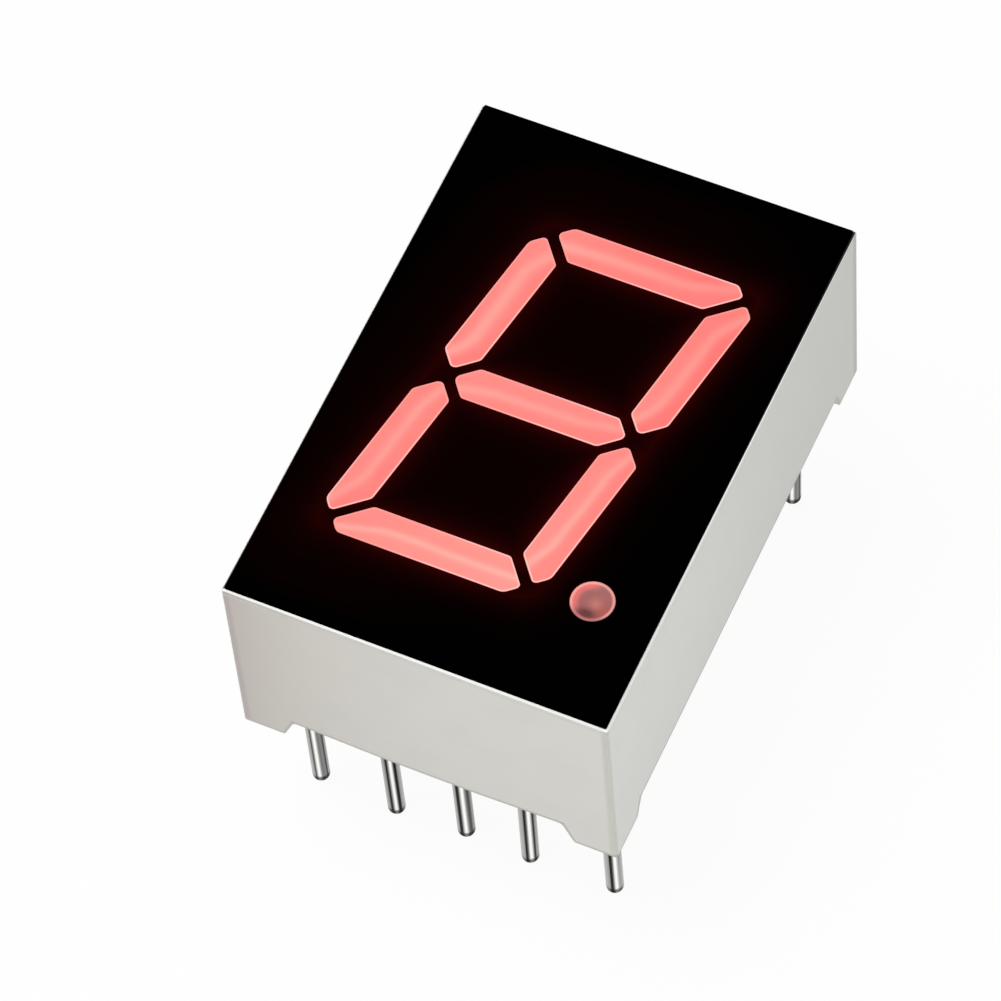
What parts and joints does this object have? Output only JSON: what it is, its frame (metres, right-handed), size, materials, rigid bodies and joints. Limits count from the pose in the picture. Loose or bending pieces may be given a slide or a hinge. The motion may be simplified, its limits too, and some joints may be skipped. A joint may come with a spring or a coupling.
{
  "type": "seven segment display",
  "caption": "Slanted red numeral display with a decimal point: black face over a white body on corner feet, with two rows of round wire pins below.",
  "frame": {"origin": "on the seating plane under the corner feet, at the centre of the two pin rows", "axes": "+Z out of the face, +Y to the top of the digit, +X to the reader's right"},
  "size_m": [0.0126, 0.019, 0.0141],
  "materials": {
    "white_reflector": "satin",
    "black_face": "matte",
    "lit_epoxy": "satin",
    "unlit_epoxy": "satin",
    "board_laminate": "satin",
    "copper": "satin",
    "chip": "gloss",
    "gold_wire": "gloss",
    "tinned_wire": "bright tin",
    "solder": "satin",
    "seal_epoxy": "gloss"
  },
  "bodies": {
    "root": {"housing": "white_reflector", "face_mask": "black_face", "segment_a": "lit_epoxy", "segment_b": "lit_epoxy", "segment_c": "lit_epoxy", "segment_d": "lit_epoxy", "segment_e": "lit_epoxy", "segment_f": "lit_epoxy", "segment_g": "lit_epoxy", "decimal_point": "unlit_epoxy", "circuit_board": "board_laminate", "copper_tracks": "copper", "led_chip_a": "chip", "led_chip_b": "chip", "led_chip_c": "chip", "led_chip_d": "chip", "led_chip_e": "chip", "led_chip_f": "chip", "led_chip_g": "chip", "led_chip_point": "chip", "bond_wire_a": "gold_wire", "bond_wire_b": "gold_wire", "bond_wire_c": "gold_wire", "bond_wire_d": "gold_wire", "bond_wire_e": "gold_wire", "bond_wire_f": "gold_wire", "bond_wire_g": "gold_wire", "bond_wire_point": "gold_wire", "pin_1": "tinned_wire", "pin_2": "tinned_wire", "pin_3": "tinned_wire", "pin_4": "tinned_wire", "pin_5": "tinned_wire", "pin_6": "tinned_wire", "pin_7": "tinned_wire", "pin_8": "tinned_wire", "pin_9": "tinned_wire", "pin_10": "tinned_wire", "solder_1": "solder", "solder_2": "solder", "solder_3": "solder", "solder_4": "solder", "solder_5": "solder", "solder_6": "solder", "solder_7": "solder", "solder_8": "solder", "solder_9": "solder", "solder_10": "solder", "back_seal": "seal_epoxy"}
  },
  "joints": []
}
